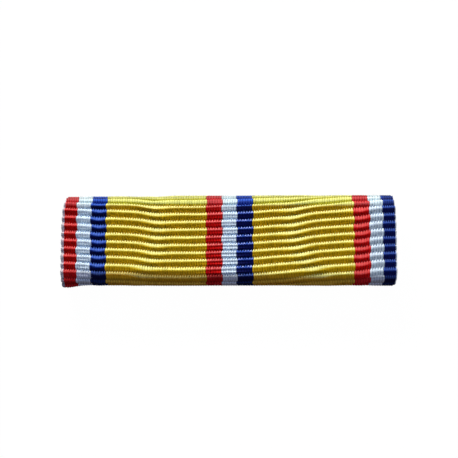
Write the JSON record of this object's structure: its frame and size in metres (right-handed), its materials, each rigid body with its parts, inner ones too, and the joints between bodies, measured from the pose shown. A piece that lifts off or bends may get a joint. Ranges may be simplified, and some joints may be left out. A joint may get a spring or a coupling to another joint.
{
  "type": "ribbon bar",
  "caption": "Ribbon bar: a corded, striped ribbon wrapped over a folded metal channel that slides onto a mounting rail.",
  "frame": {"origin": "middle of the bar at its back, on the surface it lies on", "axes": "+X along the bar to the right as its face is seen, +Y to the bar's top edge, +Z out of its face"},
  "size_m": [0.035, 0.0094, 0.0034],
  "materials": {
    "plate_metal": "brushed sheet, lightly tarnished",
    "selvedge_weft": "satin weft loops",
    "red_warp": "corded satin weave",
    "white_warp": "corded satin weave",
    "blue_warp": "corded satin weave",
    "yellow_warp": "corded satin weave"
  },
  "bodies": {
    "root": {"channel_plate": "plate_metal", "selvedge_left": "selvedge_weft", "red_left": "red_warp", "white_left": "white_warp", "blue_left": "blue_warp", "yellow_left": "yellow_warp", "red_middle": "red_warp", "white_middle": "white_warp", "blue_middle": "blue_warp", "yellow_right": "yellow_warp", "red_right": "red_warp", "white_right": "white_warp", "blue_right": "blue_warp", "selvedge_right": "selvedge_weft"}
  },
  "joints": []
}
